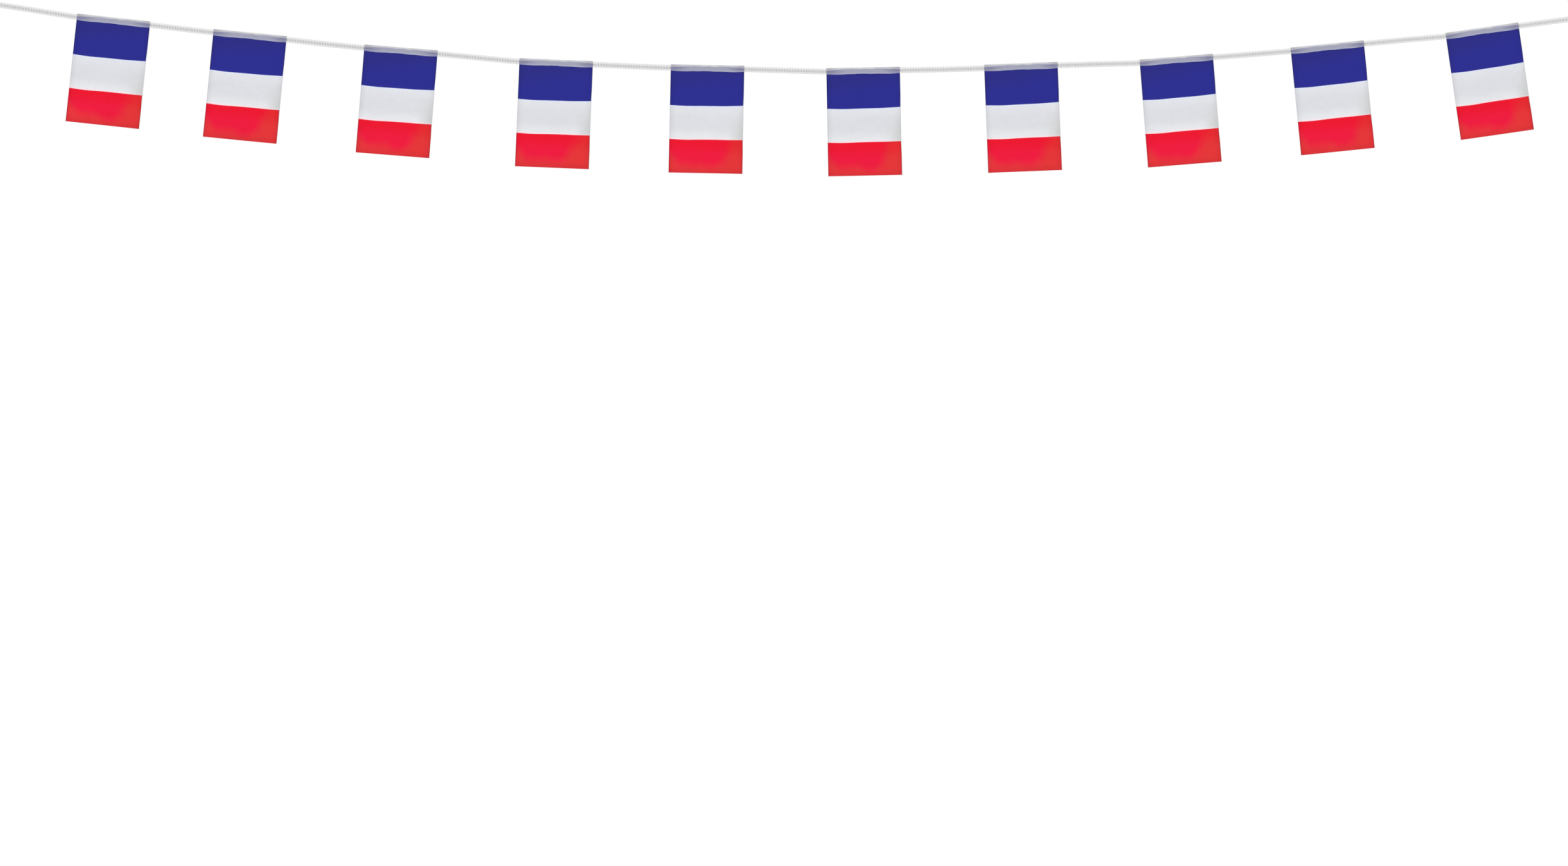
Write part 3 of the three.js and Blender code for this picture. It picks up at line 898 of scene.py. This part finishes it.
def flap_depth(hang, x, below):
    """How far the flap in front of the tape leans in: puffed over the tape, pinched by the stitches."""
    stitch = depth_of(STITCH_LINE, x)
    turn = 2 * math.pi * hang["phase"]
    wide, narrow = PUFF_LENGTHS
    billow = 1 - PUFF_VARIES + PUFF_VARIES * np.sin(x / wide + turn) * np.sin(x / narrow + 2 * turn)
    puff = PUFF * rise(below, *PUFF_RISES) * (1 - rise(below, *PUFF_ENDS)) * billow
    pinch = FLAP_PINCH * stitch_pinch(x, below)
    edge = rise(below, stitch, stitch + FLAP_EDGE_REACH) * (FLAP_EDGE + ripples(FRILL, hang, x))
    tuck = FLAP_TUCK * rise(below, *FLAP_TUCK_AT)
    above_foot = depth_of(PUCKER_FOOT, x) - below
    pucker = PUCKER * rise(above_foot, -PUCKER_EDGE, PUCKER_EDGE) * rise(below, *PUCKER_RISES)
    return pinch + edge + tuck - puff - pucker


def main_depth(hang, x, below):
    """How far the cloth behind the tape departs from the plane just behind it."""
    free = np.maximum(FREE_FROM - FLAG_TOP + below, 0)
    down = free / (FREE_FROM - FLAG_TOP + FLAG_HEIGHT)
    pinch = MAIN_PINCH * stitch_pinch(x, below)
    lean = MAIN_LEAN * rise(below, depth_of(STITCH_LINE, x), MAIN_LEAN_TO)
    faded = np.exp(-np.maximum(below - GATHERS_FADE_FROM, 0) / GATHERS_FADE)
    gathers = ripples(GATHERS, hang, x) * rise(below, *GATHERS_RISE) * faded
    wrinkle = wrinkle_depth(hang["wrinkles"], x, below)
    from_side = np.minimum(np.abs(x), np.abs(FLAG_WIDTH - x))
    side_curl = SIDE_CURL * np.exp(-from_side / SIDE_CURL_REACH) * rise(below, *SIDE_CURL_RISES)
    return hang_depth(hang, x / FLAG_WIDTH, down) + gathers + wrinkle - pinch - lean - side_curl


def cloth_point(hang, x, along):
    """The middle of a flag's cloth in the hem's own frame. x is measured from the flag's left edge, and along
    from the top of the fold: negative on the flap in front of the tape, positive behind it."""
    turned = np.clip(along / FOLD_RADIUS, -math.pi / 2, math.pi / 2)
    straight = np.maximum(np.abs(along) - HALF_FOLD, 0)
    bump = FOLD_BUMP * np.cos(2 * math.pi * x / FOLD_BUMP_PITCH)
    z = FOLD_CENTRE + (FOLD_RADIUS + bump) * np.cos(turned) - straight
    below = np.where(straight > 0, FLAG_TOP - z, 0)
    swing = np.where(along < 0, flap_depth(hang, x, below), main_depth(hang, x, below))
    y = FOLD_RADIUS * np.sin(turned) + swing * (straight > 0)
    spread = 1 + HEM_DRAWN_IN / FLAG_WIDTH * below / FLAG_HEIGHT
    return np.stack([(x - FLAG_MIDDLE) * spread, y, z], axis=-1)


def cloth_face(hang, x, along, height):
    """A point at that height over the middle of the cloth, on its unprinted side, and the way out there."""
    across_step = cloth_point(hang, x + NORMAL_REACH, along) - cloth_point(hang, x - NORMAL_REACH, along)
    along_step = cloth_point(hang, x, along + NORMAL_REACH) - cloth_point(hang, x, along - NORMAL_REACH)
    out = unit(np.cross(across_step, along_step))
    return cloth_point(hang, x, along) + np.asarray(height)[..., None] * out, out


def hem_axes(start, end):
    """The middle of a flag's hem and its own X, Y and Z directions."""
    right = unit(end - start)
    return (start + end) / 2, np.array([right, AWAY, [-right[2], 0, right[0]]])


def cloth_grid():
    """x and along of the points of a flag's mesh, row by row from the flap's cut edge to the foot."""
    x = np.linspace(0, FLAG_WIDTH, STITCHES * COLUMNS_PER_STITCH + 1)
    foot_steps = round((FLAG_HEIGHT - HEM_FINE_TO) / MAIN_STEP)
    knots = [
        -FOLD_ALLOWANCE - depth_of(FLAP_FOOT, x),
        -FOLD_ALLOWANCE - depth_of(STITCH_LINE, x),
        np.full_like(x, -HALF_FOLD),
        np.full_like(x, HALF_FOLD),
        np.full_like(x, FOLD_ALLOWANCE + HEM_FINE_TO),
        np.full_like(x, FOLD_ALLOWANCE + FLAG_HEIGHT),
    ]
    rows = [knots[0][None]]
    counts = [EDGE_STEPS, FLAP_STEPS, FOLD_STEPS, HEM_STEPS, foot_steps]
    for above, under, count in zip(knots, knots[1:], counts):
        share = np.linspace(0, 1, count + 1)[1:, None]
        rows.append(above + share * (under - above))
    along = np.concatenate(rows)
    along[-1] += FOOT_WAVE * np.cos(2 * math.pi * x / FOOT_WAVE_PITCH)
    return np.broadcast_to(x, along.shape), along


def cloth_faces(rows, columns):
    """Faces of both layers and the rim. The second layer's points follow the first's in the same order."""
    index = np.arange(rows * columns).reshape(rows, columns)
    corners = [index[:-1, :-1], index[:-1, 1:], index[1:, 1:], index[1:, :-1]]
    layer = np.stack(corners, axis=-1).reshape(-1, 4)
    border = np.concatenate([index[0, :-1], index[:-1, -1], index[-1, :0:-1], index[:0:-1, 0]])
    following = np.roll(border, -1)
    rim = np.stack([following, border, border + index.size, following + index.size], axis=1)
    return np.concatenate([layer, layer[:, ::-1] + index.size, rim]).tolist()


def make_flag(number, hem_start, hem_end, material, thread_material):
    hang = {**FLAGS[number - 1], "wrinkles": scattered_wrinkles(number)}
    x, along = cloth_grid()
    faces = cloth_faces(*x.shape)
    x, along = x.ravel(), along.ravel()
    middle, axes = hem_axes(hem_start, hem_end)
    layers = [cloth_face(hang, x, along, half)[0] for half in (HALF_THICKNESS, -HALF_THICKNESS)]
    points = np.concatenate(layers) @ axes + middle

    below = np.abs(along) - FOLD_ALLOWANCE
    bands = [below - depth_of(line, x) for line in (PRINT_TOP, BLUE_FOOT, WHITE_FOOT)]
    from_edge = along + FOLD_ALLOWANCE + depth_of(FLAP_FOOT, x)
    attributes = {
        "cloth": np.tile(np.stack([x, along, np.full_like(x, number)], axis=1), (2, 1)),
        "bands": np.tile(np.stack(bands, axis=1), (2, 1)),
        "reverse": np.repeat([1.0, 0.0], len(x)),
        "from_cut_edge": np.tile(from_edge, 2),
        "past_pucker": np.tile(below - depth_of(PUCKER_FOOT, x), 2),
    }
    name = f"cloth_flag_{number:02d}"
    flag = make_piece(name, points, faces, material, attributes)
    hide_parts(f"flag_{number:02d}")
    stitching = make_hem_stitching(number, hang, middle, axes, thread_material)


def make_hem_stitching(number, hang, middle, axes, material):
    """The row of stitches that closes a hem, seen on the flap and on the back of the flag."""
    share = np.linspace(-1, 1, STITCH_POINTS)[None, :]
    stitch = (np.arange(STITCHES) + 0.5)[:, None] * STITCH_PITCH
    x = stitch + STITCH_HALF_LENGTH * share
    lift = HALF_THICKNESS + STITCH_LIFT - STITCH_DIP * share**4 + 0 * x
    depth = depth_of(STITCH_LINE, stitch) + FOLD_ALLOWANCE
    slant = STITCH_RISE * (1 - stitch / FLAG_MIDDLE) * share
    rows = [-depth + slant, depth - slant / 2]
    faces = [cloth_face(hang, x, along, lift) for along in rows]
    paths = np.concatenate([face[0] for face in faces]) @ axes + middle
    outward = np.concatenate([face[1] for face in faces]) @ axes
    return make_threads(f"hem_stitching_{number:02d}", paths, outward, material)


make_camera()
route = np.array([(x, 0, z) for x, z in TAPE_ROUTE], float)
path = TapePath(route)
hem_thread = make_thread_material("hem sewing thread", colour(206, 201, 210))
loop_thread = make_thread_material("loop sewing thread", colour(224, 223, 226))
tape, tape_middle = make_tape(path, make_tape_material())
loop_stitching = [
    make_loop_stitching("loop_stitching_left", route[0], route[1], loop_thread),
    make_loop_stitching("loop_stitching_right", route[-1], route[-2], loop_thread),
]
cloth = make_cloth_material()
hems = zip(route[1::POINTS_PER_FLAG], route[2::POINTS_PER_FLAG])
for number, (hem_start, hem_end) in enumerate(hems, start=1):
    make_flag(number, hem_start, hem_end, cloth, hem_thread)
make_floor()
make_world()
make_sun("key_sun", SUN_SHARE, SUN_FROM)
make_sun("back_sun", BACK_SUN_SHARE, BACK_SUN_FROM)
bpy.context.scene.view_settings.view_transform = "Standard"
